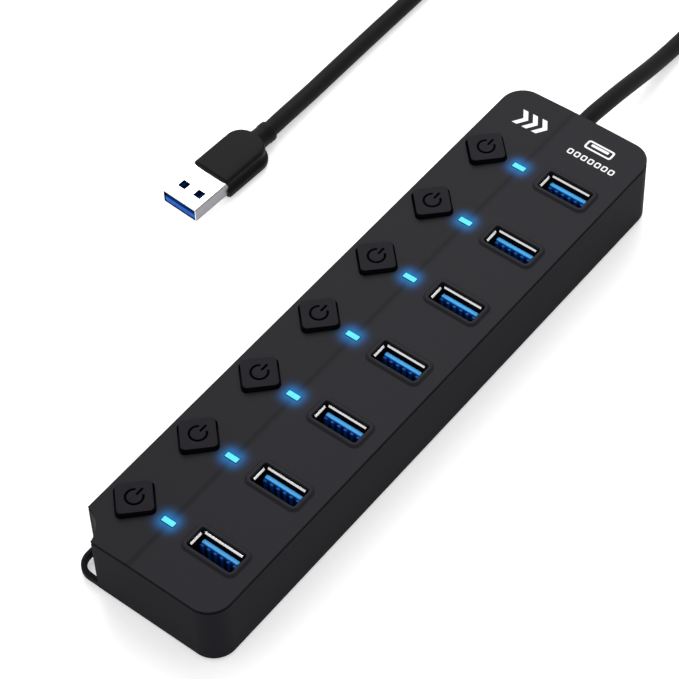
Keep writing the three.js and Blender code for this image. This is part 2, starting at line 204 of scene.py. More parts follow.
def node(tree, kind, **values):
    """A new shader node with its settings."""
    made = tree.nodes.new(kind)
    for key, value in values.items():
        setattr(made, key, value)
    return made


def position(tree):
    """The point being shaded in the model's own frame, in millimetres."""
    place = node(tree, "ShaderNodeTexCoord")
    scale = node(tree, "ShaderNodeVectorMath", operation="SCALE")
    scale.inputs["Scale"].default_value = 1 / MM
    tree.links.new(place.outputs["Object"], scale.inputs[0])
    return scale.outputs["Vector"]


def math_node(tree, operation, *values, clamp=False):
    """A Math node whose inputs are sockets or numbers."""
    made = node(tree, "ShaderNodeMath", operation=operation, use_clamp=clamp)
    for i, value in enumerate(values):
        if isinstance(value, (int, float)):
            made.inputs[i].default_value = value
        else:
            tree.links.new(value, made.inputs[i])
    return made.outputs[0]


def noise(tree, at, scale, detail=2.0):
    """A smooth random factor from 0 to 1, with the scale in cycles per millimetre."""
    made = node(tree, "ShaderNodeTexNoise")
    made.inputs["Scale"].default_value = scale
    made.inputs["Detail"].default_value = detail
    tree.links.new(at, made.inputs["Vector"])
    return made.outputs["Fac"]


def spread(tree, factor, low, high):
    """A factor from 0 to 1 mapped to a range."""
    made = node(tree, "ShaderNodeMapRange")
    made.inputs["To Min"].default_value = low
    made.inputs["To Max"].default_value = high
    tree.links.new(factor, made.inputs["Value"])
    return made.outputs["Result"]


def bump(tree, shader, height, strength, distance):
    """Gives the shader a fine relief, with its depth in millimetres."""
    made = node(tree, "ShaderNodeBump")
    made.inputs["Strength"].default_value = strength
    made.inputs["Distance"].default_value = distance * MM
    tree.links.new(height, made.inputs["Height"])
    tree.links.new(made.outputs["Normal"], shader.inputs["Normal"])


def two_tone(tree, shader, factor, dark, light):
    """Colours the shader between two tones by a factor."""
    mix = node(tree, "ShaderNodeMix", data_type="RGBA")
    tree.links.new(factor, mix.inputs["Factor"])
    mix.inputs["A"].default_value = (*dark, 1)
    mix.inputs["B"].default_value = (*light, 1)
    tree.links.new(mix.outputs["Result"], shader.inputs["Base Color"])


def moulded(name, colour, rough, grain, shine):
    """Moulded plastic: a fine even grain, slow changes of tone, and slightly uneven gloss."""
    material, tree, shader = new_material(name, Specular_IOR_Level=shine)
    at = position(tree)
    slow = noise(tree, at, 0.06, 3)
    dark = [c * 0.93 for c in colour]
    light = [c * 1.07 for c in colour]
    two_tone(tree, shader, slow, dark, light)
    fine = noise(tree, at, 3.5, 3)
    tree.links.new(spread(tree, fine, rough - 0.05, rough + 0.05), shader.inputs["Roughness"])
    bump(tree, shader, fine, grain, 0.02)
    return material, tree, shader


def light_halo(tree, shader, at):
    """The glow of the lit windows on the cover round them."""
    half_x, half_y, reach = 0.9, 0.5, 2.1
    split = node(tree, "ShaderNodeSeparateXYZ")
    tree.links.new(at, split.inputs[0])
    pitch = LIGHTS[1].y - LIGHTS[2].y
    first = LIGHTS[7].y
    along = math_node(tree, "SUBTRACT", split.outputs["Y"], first)
    along = math_node(tree, "WRAP", along, pitch / 2, -pitch / 2)
    beside = math_node(tree, "SUBTRACT", split.outputs["X"], LIGHTS[1].x)
    squares = []
    for offset, half in ((beside, half_x), (along, half_y)):
        past = math_node(tree, "SUBTRACT", math_node(tree, "ABSOLUTE", offset), half)
        squares.append(math_node(tree, "POWER", math_node(tree, "MAXIMUM", past, 0.0), 2.0))
    distance = math_node(tree, "ADD", *squares)
    fall = math_node(tree, "EXPONENT", math_node(tree, "MULTIPLY", distance, -1 / reach**2))
    inside = math_node(tree, "LESS_THAN", split.outputs["Y"], LIGHTS[1].y + pitch / 2)
    glow = math_node(tree, "MULTIPLY", fall, inside)
    upper = math_node(tree, "GREATER_THAN", split.outputs["Z"], CASE_TOP - RIM_T)
    shader.inputs["Emission Color"].default_value = (0.002, 0.15, 0.44, 1)
    tree.links.new(math_node(tree, "MULTIPLY", glow, upper), shader.inputs["Emission Strength"])


def crease_shade(tree, shader, at):
    """Darkens the cover along its fold, and a little over the part that slopes away to the left."""
    sharpness, line_depth, left_depth = 1.3, 0.55, 0.2
    split = node(tree, "ShaderNodeSeparateXYZ")
    tree.links.new(at, split.inputs[0])
    across = math_node(tree, "SUBTRACT", split.outputs["X"], CREASE_X + MIDDLE_X)
    square = math_node(tree, "POWER", across, 2.0)
    line = math_node(tree, "EXPONENT", math_node(tree, "MULTIPLY", square, -sharpness))
    line = math_node(tree, "MULTIPLY", line, line_depth)
    left = math_node(tree, "MULTIPLY", math_node(tree, "LESS_THAN", across, 0.0), left_depth)
    keep = math_node(tree, "SUBTRACT", 1.0, math_node(tree, "MAXIMUM", line, left))
    base = shader.inputs["Base Color"].links[0].from_socket
    scale = node(tree, "ShaderNodeVectorMath", operation="SCALE")
    tree.links.new(base, scale.inputs[0])
    tree.links.new(keep, scale.inputs["Scale"])
    tree.links.new(scale.outputs["Vector"], shader.inputs["Base Color"])


def metal(name, colour, rough):
    """Bright plated metal, a little cloudy and slightly uneven in gloss."""
    material, tree, shader = new_material(name, Metallic=1.0)
    at = position(tree)
    cloud = noise(tree, at, 0.8, 3)
    two_tone(tree, shader, cloud, [c * 0.95 for c in colour], colour)
    tree.links.new(spread(tree, cloud, rough * 0.8, rough * 1.25), shader.inputs["Roughness"])
    bump(tree, shader, noise(tree, at, 6.0, 2), 0.03, 0.01)
    return material


def plain(name, colour, rough, grain=0.15, shine=0.1):
    """Moulded plastic with nothing added."""
    return moulded(name, colour, rough, grain, shine)[0]


def make_materials():
    """Every material by a short name."""
    made = {}
    cover, tree, shader = moulded("cover_plastic", (0.0132, 0.0124, 0.0162), 0.52, 0.35, 0.09)
    crease_shade(tree, shader, position(tree))
    light_halo(tree, shader, position(tree))
    made["cover"] = cover
    # Painted shade for the cover's upright edges and hole walls.
    made["seam"] = plain("cover_edge_painted_shade", (0.0065, 0.0061, 0.008), 0.7, 0.2, 0.02)
    made["tub"] = plain("case_plastic", (0.0105, 0.0098, 0.0128), 0.55, 0.35, 0.02)
    made["button"] = plain("button_plastic", (0.0105, 0.0101, 0.0135), 0.5, 0.3, 0.05)
    # Painted shade for the buttons' upright sides.
    made["button_side_painted_shade"] = plain("button_side_painted_shade", (0.0036, 0.0034, 0.0048), 0.5, 0.3, 0.03)
    # Near black: painted shade in the engraved groove.
    made["engraving_painted_shade"] = plain("engraving_painted_shade", (0.0006, 0.0006, 0.0008), 0.8, 0.1, 0.02)
    made["steel"] = metal("plated_steel", (0.98, 0.98, 0.985), 0.18)
    # A darker copy of the plated steel: painted shade on the plug shell's sides.
    made["steel_side"] = metal("painted_shade_steel", (0.3, 0.3, 0.32), 0.4)
    # Near black: painted shade inside the port and plug shells.
    made["socket_painted_shade"] = plain("socket_painted_shade", (0.002, 0.002, 0.003), 0.6, 0.1, 0.05)
    made["blue"] = plain("socket_blue", (0.003, 0.095, 0.48), 0.38, 0.15, 0.1)
    # A lighter copy of the socket blue: painted light on the tongue's tip.
    made["blue_tip"] = plain("socket_blue_tip", (0.045, 0.45, 1.0), 0.34, 0.15, 0.3)
    # Dark navy: painted shade for the metal contacts in the port tongues and the plug.
    made["contact"] = plain("contact_painted_shade", (0.001, 0.02, 0.1), 0.5, 0.1, 0.05)
    made["grip"] = plain("plug_plastic", (0.0065, 0.0065, 0.0065), 0.46, 0.2, 0.06)
    made["sleeve"] = sleeve_material()
    made["rubber"] = plain("foot_rubber", (0.008, 0.008, 0.009), 0.8, 0.6)
    made["print"] = plain("white_print", (0.86, 0.86, 0.86), 0.5, 0.05)
    made["window"] = window_material()
    # Dark teal: painted shade on the light windows' sides.
    made["window_edge_painted_shade"] = plain("window_edge_painted_shade", (0.0, 0.05, 0.09), 0.4)
    made["board"] = plain("solder_mask", (0.012, 0.10, 0.035), 0.35)
    made["chip"] = plain("chip_epoxy", (0.012, 0.012, 0.013), 0.55)
    made["white"] = plain("white_plastic", (0.72, 0.71, 0.66), 0.45)
    made["screw"] = metal("screw_zinc", (0.45, 0.45, 0.47), 0.32)
    return made


def sleeve_material():
    """The cord's smooth extruded sleeve."""
    material, tree, shader = new_material("cord_sleeve", Roughness=0.42, Specular_IOR_Level=0.03)
    at = position(tree)
    dark, light = (0.0105, 0.0105, 0.0115), (0.0135, 0.0135, 0.0148)
    two_tone(tree, shader, noise(tree, at, 0.15, 2), dark, light)
    bump(tree, shader, noise(tree, at, 1.6, 2), 0.05, 0.03)
    return material


def window_material():
    """A clear window lit from below, brightest over the light and dimmer at its edges."""
    dim = (0.02, 0.1, 0.12, 1)
    material, tree, shader = new_material("light_window", Base_Color=dim, Roughness=0.25)
    shader.inputs["Specular IOR Level"].default_value = 0.15
    at = position(tree)
    shader.inputs["Emission Color"].default_value = (0.1, 0.82, 0.95, 1)
    strength = spread(tree, noise(tree, at, 0.9, 1), 0.8, 1.05)
    tree.links.new(strength, shader.inputs["Emission Strength"])
    return material


# ---- mesh helpers ----
def arc(cx, cy, radius, start, end, steps):
    """Points on a circle, both ends included, with the angles in degrees."""
    angles = [math.radians(start + (end - start) * i / steps) for i in range(steps + 1)]
    return [(cx + radius * math.cos(a), cy + radius * math.sin(a)) for a in angles]


def rounded_rect(width, depth, radius, steps=8, x=0.0, y=0.0, turn=0.0):
    """An anticlockwise outline with round corners, turned by degrees and moved to (x, y)."""
    a, b = width / 2 - radius, depth / 2 - radius
    corners = [(a, b, 0), (-a, b, 90), (-a, -b, 180), (a, -b, 270)]
    points = []
    for cx, cy, start in corners:
        points += arc(cx, cy, radius, start, start + 90, steps)
    c, s = math.cos(math.radians(turn)), math.sin(math.radians(turn))
    return [(x + px * c - py * s, y + px * s + py * c) for px, py in points]


def circle(x, y, radius, steps=48):
    """An anticlockwise circle that doesn't repeat its first point."""
    return arc(x, y, radius, 0, 360 * (steps - 1) / steps, steps - 1)


def case_outline(inset, steps=20):
    """The case's outline drawn in by an inset, with its scooped near left corner."""
    a, b, radius = CASE_W / 2 - inset, CASE_L / 2 - inset, CORNER_R - inset
    points = []
    for sx, sy, start in [(1, -1, 270), (1, 1, 0), (-1, 1, 90)]:
        points += arc(sx * (a - radius), sy * (b - radius), radius, start, start + 90, steps)
    scoop = SCOOP_R + inset
    cx, cy = -CASE_W / 2 - SCOOP_OFFSET, -CASE_L / 2 - SCOOP_OFFSET
    lean = math.degrees(math.asin((SCOOP_OFFSET + inset) / scoop))
    points += arc(cx, cy, scoop, 90 - lean, lean, steps)
    return [(x + MIDDLE_X, y) for x, y in points]


def roof_drop(x):
    """How far the top face has fallen from its level part."""
    past = x - MIDDLE_X - CREASE_X
    groove = GROOVE_D * max(0.0, 1 - abs(past) / (GROOVE_W / 2))
    return ROOF_DROP * max(0.0, -past / (CASE_W / 2 + CREASE_X)) + groove


def new_object(name, mesh, material):
    """An object in the scene with its first material."""
    made = bpy.data.objects.new(name, mesh)
    bpy.context.collection.objects.link(made)
    if material is not None:
        made.data.materials.append(material)
    return made


def mesh_of(points, faces):
    """A mesh from points in millimetres."""
    mesh = bpy.data.meshes.new("mesh")
    mesh.from_pydata([Vector(p) * MM for p in points], [], faces)
    return mesh


def loft(rings, closed=False, caps=True):
    """Skins equal rings of points. Closed joins the last ring to the first, and caps fills the ends."""
    count = len(rings[0])
    points = [p for ring in rings for p in ring]
    faces = []
    pairs = len(rings) if closed else len(rings) - 1
    for r in range(pairs):
        low, high = r * count, ((r + 1) % len(rings)) * count
        for i in range(count):
            j = (i + 1) % count
            faces.append((low + i, low + j, high + j, high + i))
    if caps and not closed:
        faces.append(tuple(reversed(range(count))))
        faces.append(tuple(range((len(rings) - 1) * count, len(rings) * count)))
    return mesh_of(points, faces)


def ring(outline, z):
    """An outline at one height."""
    return [(x, y, z) for x, y in outline]


def plate(outlines, z0, z1, bevel=0.0, steps=3):
    """A flat plate from an outline and its holes, with its edges rounded."""
    curve = bpy.data.curves.new("plate", "CURVE")
    curve.dimensions = "2D"
    curve.fill_mode = "BOTH"
    curve.extrude = ((z1 - z0) / 2 - bevel) * MM
    curve.bevel_depth = bevel * MM
    curve.bevel_resolution = steps
    curve.offset = -bevel * MM
    for outline in outlines:
        spline = curve.splines.new("POLY")
        spline.points.add(len(outline) - 1)
        for point, (x, y) in zip(spline.points, outline):
            point.co = (x * MM, y * MM, 0, 1)
        spline.use_cyclic_u = True
    maker = bpy.data.objects.new("plate_maker", curve)
    bpy.context.collection.objects.link(maker)
    graph = bpy.context.evaluated_depsgraph_get()
    mesh = bpy.data.meshes.new_from_object(maker.evaluated_get(graph))
    bpy.data.objects.remove(maker)
    mesh.transform(Matrix.Translation((0, 0, (z0 + z1) / 2 * MM)))
    mesh.materials.clear()
    return mesh


def lathe(profile, place, axis="Z", steps=48):
    """Turns (radius, height) points about an axis through a place."""
    rings = []
    for radius, height in profile:
        around = circle(0, 0, max(radius, 0.001), steps)
        if axis == "Z":
            rings.append([(place[0] + x, place[1] + y, place[2] + height) for x, y in around])
        else:
            rings.append([(place[0] - x, place[1] + height, place[2] + y) for x, y in around])
    return loft(rings)


def join(name, meshes, material, indices=None):
    """One object from several meshes, each with its own material index."""
    whole = bmesh.new()
    for i, mesh in enumerate(meshes):
        start = len(whole.faces)
        whole.from_mesh(mesh)
        whole.faces.ensure_lookup_table()
        for face in whole.faces[start:]:
            face.material_index = indices[i] if indices else 0
    mesh = bpy.data.meshes.new(name)
    whole.to_mesh(mesh)
    whole.free()
    return new_object(name, mesh, material)


def smooth(piece, angle=32.0):
    """Welds the mesh, shades it smooth, and keeps the edges sharper than an angle."""
    work = bmesh.new()
    work.from_mesh(piece.data)
    bmesh.ops.remove_doubles(work, verts=work.verts, dist=0.0005 * MM)
    bmesh.ops.recalc_face_normals(work, faces=work.faces)
    for face in work.faces:
        face.smooth = True
    for edge in work.edges:
        edge.smooth = edge.calc_face_angle(0.0) < math.radians(angle)
    work.to_mesh(piece.data)
    work.free()
    piece.data.validate()
    weigh = piece.modifiers.new("weighted_normal", "WEIGHTED_NORMAL")
    weigh.keep_sharp = True
    weigh.weight = 100
    return piece


def fit_roof(piece):
    """Creases the mesh along the top face's fold and lowers it towards the left edge."""
    work = bmesh.new()
    work.from_mesh(piece.data)
    for aside in (-GROOVE_W / 2, 0, GROOVE_W / 2):
        everything = work.verts[:] + work.edges[:] + work.faces[:]
        fold = Vector(((CREASE_X + MIDDLE_X + aside) * MM, 0, 0))
        bmesh.ops.bisect_plane(work, geom=everything, plane_co=fold, plane_no=(1, 0, 0), dist=1e-7)
    for vert in work.verts:
        if vert.co.z > CASE_TOP / 2 * MM:
            vert.co.z -= roof_drop(vert.co.x / MM) * MM
    work.to_mesh(piece.data)
    work.free()
    return piece


def place_piece(piece, body, slot, *nodes):
    """Puts a piece on its body and hides the CAD nodes it replaces. The slot is not used."""
    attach(piece, body)
    if nodes:
        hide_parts(*nodes)
    return piece


# ---- case ----
def row_holes(grow=0.0):
    """The outlines of every hole in the top cover."""
    holes = []
    for row in ROWS:
        port, light, button = PORTS[row], LIGHTS[row], BUTTONS[row]
        holes.append(rounded_rect(PORT_HOLE_W + grow, PORT_HOLE_D + grow, 0.8, 6, port.x, port.y))
        holes.append(rounded_rect(WINDOW_HOLE_W, WINDOW_HOLE_D, 0.3, 4, light.x, light.y))
        side, radius = BUTTON_HOLE, BUTTON_R + 0.3
        holes.append(rounded_rect(side, side, radius, 8, button.x, button.y, BUTTON_TURN))
    return holes


def bezel(port):
    """The raised rim round one port, with soft sloping sides, down to the port's mouth."""
    # How far in each ring is, as a share of the rim's whole width, and its height over the cover.
    profile = [
        (0.0, -0.3),
        (0.0, 0.02),
        (0.08, 0.06),
        (0.22, 0.22),
        (0.36, 0.38),
        (0.46, 0.46),
        (0.56, BEZEL_H),
        (0.86, BEZEL_H),
        (0.95, 0.46),
        (1.0, 0.36),
        (1.0, -1.8),
        (0.8, -1.8),
    ]
    rings = []
    for t, z in profile:
        width, depth, radius = BEZEL_W - 3.0 * t, BEZEL_D - 2.9 * t, 2.2 - 1.5 * t
        rings.append(ring(rounded_rect(width, depth, radius, 8, port.x, port.y), CASE_TOP + z))
    return loft(rings, closed=True)


def beside_light(spot):
    """True for a point on the wall of a light window's hole."""
    reach_x, reach_y = 2.2, 1.2
    return any(
        abs(spot.x - light.x) < reach_x and abs(spot.y - light.y) < reach_y
        for light in LIGHTS.values()
    )


def make_cover():
    """The top cover, with its raised port rims and painted shade darkening its upright edges."""
    low = CASE_TOP - COVER_T
    skin = plate([case_outline(0)] + row_holes(), CASE_TOP - RIM_T, CASE_TOP, 0.06)
    body = plate([case_outline(WALL + SEAM)] + row_holes(0.1), low, CASE_TOP - RIM_T - 0.01)
    cover = fit_roof(join("cover_plates", [skin, body], None))
    rims = [bezel(PORTS[row]) for row in ROWS]
    whole = join("cover_shell", [cover.data] + rims, materials["cover"])
    whole.data.materials.append(materials["seam"])
    # Upright faces of the cover plates take painted shade, a dark line round the top and down the holes,
    # but the walls of the light windows' holes do not.
    for face in whole.data.polygons[: len(cover.data.polygons)]:
        upright = abs(face.normal.z) < 0.9
        face.material_index = int(upright and not beside_light(face.center / MM))
    bpy.data.objects.remove(cover)
    place_piece(smooth(whole), "case", "cover_plastic", "top_cover")


def lanyard_outline():
    """The plan of the bar that crosses the scooped corner."""
    outer_x, outer_y = -CASE_W / 2 - BAR_BULGE + MIDDLE_X, -CASE_L / 2
    radius = 5.0
    cx, cy = outer_x + radius, outer_y + radius
    side_end, near_end = outer_y + 14, outer_x + 10.5
    knots = [
        (outer_x + BAR_BULGE + 0.2, side_end),
        (outer_x + BAR_BULGE, side_end - 3),
        (outer_x, side_end - 3),
        (outer_x, side_end - 6),
    ]
    points = [(p.x, p.y) for p in interpolate_bezier(*[Vector((*k, 0)) for k in knots], 10)]
    points += arc(cx, cy, radius, 180, 270, 12)
    points += [(near_end, outer_y), (near_end, outer_y + BAR_W - 0.4)]
    points += arc(cx, cy, radius - BAR_W, 270, 180, 12)
    points.append((outer_x + BAR_W, side_end))
    return points


def make_tub():
    """The deep lower case, with its screw wells, its recesses for the feet and the lanyard bar."""
    wall_top = CASE_TOP - RIM_T - SEAM - 0.1
    rounding = 0.5
    rings = []
    for step in range(7):
        a = math.pi / 12 * step
        inset, rise = rounding * (1 - math.sin(a)), rounding * (1 - math.cos(a))
        rings.append(ring(case_outline(inset), CASE_BASE + rise))
    for inset, height in [
        (0, wall_top - 0.12),
        (0.04, wall_top - 0.04),
        (0.12, wall_top),
        (WALL, wall_top),
        (WALL, CASE_BASE + 1),
    ]:
        rings.append(ring(case_outline(inset), height))
    wall = loft(rings, caps=False)
    screws = [centre(f"screw_{i}") for i in range(1, 5)]
    feet = [centre(f"foot_{i}") for i in range(1, 5)]
    wells = [circle(spot.x, spot.y, SCREW_WELL_R, 32) for spot in screws]
    recesses = [circle(spot.x, spot.y, FOOT_R + FOOT_GAP, 48) for spot in feet]
    skin_top = CASE_BASE + 0.6  # as deep as the recesses
    outside = plate([case_outline(rounding)] + wells + recesses, CASE_BASE, skin_top)
    inside = plate([case_outline(rounding)] + wells, skin_top + 0.01, CASE_BASE + FLOOR_T)
    socket = [
        (0, SCREW_WELL_TOP),
        (SCREW_WELL_R, SCREW_WELL_TOP),
        (SCREW_WELL_R + 0.05, 2.6),
        (SCREW_WELL_R + 0.05, 4),
        (0, 4),
    ]
    sockets = [lathe(socket, (spot.x, spot.y, 0)) for spot in screws]
    bar = plate([lanyard_outline()], CASE_BASE, BAR_TOP, 0.6, 5)
    tub = join("case_tub", [wall, outside, inside, bar] + sockets, materials["tub"])
    tub = fit_roof(tub)
    place_piece(smooth(tub), "case", "case_plastic", "bottom_case")


def make_feet():
    """The four round rubber feet."""
    profile = [(0, 0), (3.3, 0), (3.7, 0.08), (3.93, 0.3), (FOOT_R, 0.6), (FOOT_R, FOOT_H), (0, FOOT_H)]
    for i in range(1, 5):
        spot = centre(f"foot_{i}")
        pad = lathe(profile, (spot.x, spot.y, 0), steps=64)
        foot = new_object(f"foot_pad_{i}", pad, materials["rubber"])
        place_piece(smooth(foot), "case", "rubber", f"foot_{i}")


# ---- ports ----
def port_outline(port, grow):
    """The receptacle's outline, grown outwards, with points along its sides for the mouth's lips."""
    half_w, half_d, radius = SHELL_W / 2 + grow, SHELL_D / 2 + grow, max(0.15, 0.55 + grow)
    a, b = half_w - radius, half_d - radius
    points = []
    for sx, sy, start in [(1, 1, 0), (-1, 1, 90), (-1, -1, 180), (1, -1, 270)]:
        points += arc(sx * a, sy * b, radius, start, start + 90, 5)
        along_x = sx * sy > 0
        stops = [0.005, 0.02, 0.5, 0.98, 0.995] if along_x else [0.03, 0.07, 0.5, 0.93, 0.97]
        for t in stops:
            if along_x:
                points.append((sx * a * (1 - 2 * t), sy * half_d))
            else:
                points.append((sx * half_w, sy * b * (1 - 2 * t)))
    return [(port.x + x, port.y + y) for x, y in points]


def on_lip(index):
    """True for the outline points between a side's corners, where the mouth is folded out."""
    points_per_side = 11  # six round the corner and five along the side
    return index % points_per_side in (7, 8, 9)


def make_port_shell(row):
    """The plated receptacle shell: bright lips folded at its mouth, with a notch at each corner; the
    notches and the inside wall take painted shade.
    """
    port = PORTS[row]
    low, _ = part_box(f"port_shell_{row}")
    base, top = low.z / MM, CASE_TOP - MOUTH_DEPTH
    narrowest = -0.36  # the near and right lips are narrower than the others
    # How far each ring is grown outwards, its height on a lip, and its height at a corner.
    levels = [
        (0.0, base, base),
        (0.0, top - 0.5, top - 0.9),
        (0.1, top - 0.08, top - 0.86),
        (0.08, top, top - 0.84),
        (-0.08, top, top - 0.84),
        (-0.44, top - 0.36, top - 0.9),
        (-0.44, top - 0.6, top - 1.0),
        (-SHELL_T, base, base),
    ]
    rings = []
    half = len(port_outline(port, 0.0)) // 2
    for grow, lip, corner in levels:
        outline = port_outline(port, grow)[:half] + port_outline(port, max(grow, narrowest))[half:]
        flat = port_outline(port, min(grow, 0.0))
        points = []
        for i, ((x, y), (fx, fy)) in enumerate(zip(outline, flat)):
            sunk = LIP_SUNK if i >= half and lip > base else 0.0
            points.append((x, y, lip - sunk) if on_lip(i) else (fx, fy, corner))
        rings.append(points)
    shell = new_object(f"port_sleeve_{row}", loft(rings, closed=True), materials["steel"])
    shell.data.materials.append(materials["socket_painted_shade"])
    count = len(rings[0])
    inner = 5  # the first level of the inside wall
    # The inside wall and the notches at the corners take painted shade in place of steel.
    for face in shell.data.polygons:
        level, i = divmod(face.index, count)
        corner = not (on_lip(i) and on_lip((i + 1) % count))
        face.material_index = int(level >= inner or (corner and level >= 1))
    place_piece(smooth(shell, 40), "case", "plated_steel", f"port_shell_{row}")


def make_port_tongue(row):
    """The blue insulator: a base, and a tongue whose tip is a lighter blue as painted light, with five
    contact channels.
    """
    low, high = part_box(f"port_insulator_{row}")
    port = PORTS[row]
    # The CAD model's tongue is kept a little lower, so the port's mouth stays open in collision.
    raised, set_back = 0.25, 0.2
    base, tip = low.z / MM, high.z / MM + raised
    far = port.y + TONGUE_Y + TONGUE_T / 2 + set_back
    back, front = far - 1.2, far - TONGUE_T
    base_top, overlap = 9.5, 0.1
    block = plate([rounded_rect(11.9, 4.5, 0.3, 3, port.x, port.y)], base, base_top, 0.1)
    blade_y, blade_t = (far + back) / 2, far - back
    blade_outline = rounded_rect(TONGUE_W, blade_t, 0.15, 3, port.x, blade_y)
    blade = plate([blade_outline], base_top - 2 * overlap, tip - 0.4)
    shoulder = rounded_rect(TONGUE_W, blade_t, 0.2, 3, port.x, blade_y)
    crown = rounded_rect(TONGUE_W - 0.2, blade_t - 0.22, 0.2, 3, port.x, blade_y)
    tip_rings = [ring(shoulder, tip - 0.41), ring(shoulder, tip - 0.16), ring(crown, tip)]
    meshes = [block, blade, loft(tip_rings)]
    # The tip takes the lighter blue, painted light on the top of the tongue.
    indices = [0, 0, 1]
    middle_slot = 2
    slots = [(i - middle_slot) * CONTACT_PITCH for i in range(5)]
    edges = [-TONGUE_W / 2]
    for slot in slots:
        edges += [slot - CHANNEL_W / 2, slot + CHANNEL_W / 2]
    edges.append(TONGUE_W / 2)
    for left, right in zip(edges[::2], edges[1::2]):
        middle = port.x + (left + right) / 2
        depth, y = back - front + overlap, (back + front + overlap) / 2
        outline = rounded_rect(right - left, depth, 0.08, 2, middle, y)
        meshes.append(plate([outline], base_top - overlap, tip - 0.55, 0.05, 1))
        indices.append(0)
    # The contacts in the channels are coloured dark navy, painted shade in place of metal.
    for slot in slots:
        outline = rounded_rect(0.75, 0.3, 0.05, 2, port.x + slot, back - 0.16)
        meshes.append(plate([outline], base_top - overlap, tip - 1.3, 0.04, 1))
        indices.append(2)
    tongue = join(f"port_tongue_{row}", meshes, materials["blue"], indices)
    tongue.data.materials.append(materials["blue_tip"])
    tongue.data.materials.append(materials["contact"])
    place_piece(smooth(tongue), "case", "blue_plastic", f"port_insulator_{row}")


def make_light(row):
    """A light guide: its window in the cover, and the stem down to the board."""
    spot = LIGHTS[row]
    low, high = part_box(f"light_guide_{row}")
    lens_base = 17
    pane = rounded_rect(WINDOW_W, WINDOW_D, 0.25, 4, spot.x, spot.y)
    lens = plate([pane], lens_base, high.z / MM, 0.14, 2)
    foot = rounded_rect(3.0, 1.6, 0.3, 3, spot.x, spot.y)
    stem = plate([foot], low.z / MM, lens_base - 0.1, 0.1, 1)
    window = join(f"light_window_{row}", [lens, stem], materials["window"])
    window.data.materials.append(materials["window_edge_painted_shade"])
    # All but the top faces take a dark teal, painted shade round the lit window.
    for face in window.data.polygons:
        face.material_index = 0 if face.normal.z > 0.9 else 1
    place_piece(smooth(window), "case", "light_window", f"light_guide_{row}")


# ---- buttons ----
def power_symbol(spot):
    """The outlines of a broken ring and a tick, open towards the far end."""
    radius, half, tick_length, tick_y = 2.2, 0.27, 2.4, 1.95
    gap = 34  # degrees, each way from the middle of the opening
    outer = arc(spot.x, spot.y, radius + half, 90 + gap, 450 - gap, 40)
    inner = arc(spot.x, spot.y, radius - half, 450 - gap, 90 + gap, 40)
    tick = rounded_rect(2 * half, tick_length, half * 0.9, 4, spot.x, spot.y + tick_y)
    return [outer + inner, tick]


def make_button(row):
    """A button cap with its engraved face, the flange that keeps it in, and the stem to its switch."""
    spot = BUTTONS[row]
    low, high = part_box(f"button_cap_{row}")
    top, cut = high.z / MM, 0.4
    flange_side, flange_base, flange_top, stem_side = 10.6, 17.0, 18.05, 5.4
    square = rounded_rect(BUTTON_SIDE, BUTTON_SIDE, BUTTON_R, 10, spot.x, spot.y, BUTTON_TURN)
    face = plate([square] + power_symbol(spot), top - cut, top, 0.13, 4)
    skirt = plate([square], flange_base + 0.1, top - cut - 0.005)
    wide = rounded_rect(flange_side, flange_side, 2.6, 8, spot.x, spot.y, BUTTON_TURN)
    flange = plate([wide], flange_base, flange_top)
    post = rounded_rect(stem_side, stem_side, 0.4, 4, spot.x, spot.y)
    stem = plate([post], low.z / MM, flange_base + 0.05)
    # The skirt's top shows through the symbol as the groove's floor, coloured near black as painted
    # shade.
    cap = join(f"power_button_{row}", [face, skirt, flange, stem], materials["button"], [0, 1, 0, 0])
    cap.data.materials.append(materials["engraving_painted_shade"])
    cap.data.materials.append(materials["button_side_painted_shade"])
    # Upright faces of the cap take a darker plastic, painted shade down its sides.
    for part in cap.data.polygons:
        if abs(part.normal.z) < 0.5:
            part.material_index = 2
    place_piece(smooth(cap), f"button_{row}", "button_plastic", f"button_cap_{row}")


# ---- printed marks ----
def frame_mark(x, y, width, height, line):
    """A rounded frame as an outline and its hole."""
    return [
        rounded_rect(width, height, height * 0.25, 5, x, y),
        rounded_rect(width - 2 * line, height - 2 * line, height * 0.12, 5, x, y),
    ]


def chevron(x, y, height, width, line):
    """A pointed bracket that opens towards -X."""
    half, slope = height / 2, width - line
    right = [(x, y + half), (x + slope, y), (x, y - half)]
    left = [(px + line, py) for px, py in right]
    return [right + left[::-1]]


def make_print():
    """Plain white marks at the cord end: three arrows, a socket outline, and seven small sockets."""
    ink = 0.012
    arrow_x, arrow_y, arrow_pitch = -14.8, 80.9, 3.1
    icon_x, icon_y = PORTS[1].x - 1.0, 83.2
    small_x, small_y, small_pitch = PORTS[1].x - 0.5, 78.4, 2.15
    marks = []
    for i in range(3):
        marks.append(chevron(arrow_x + arrow_pitch * i, arrow_y, 5.4, 3.4, 1.55))
    marks.append(frame_mark(icon_x, icon_y, 8.4, 3.1, 0.55))
    marks.append([rounded_rect(5.4, 0.85, 0.2, 3, icon_x, icon_y + 0.25)])
    for row in ROWS:
        marks.append(frame_mark(small_x + small_pitch * (row - 4), small_y, 1.6, 1.9, 0.38))
    meshes = [plate(mark, CASE_TOP, CASE_TOP + ink) for mark in marks]
    marks = fit_roof(join("printed_marks", meshes, materials["print"]))
    place_piece(smooth(marks), "case", "white_plastic")


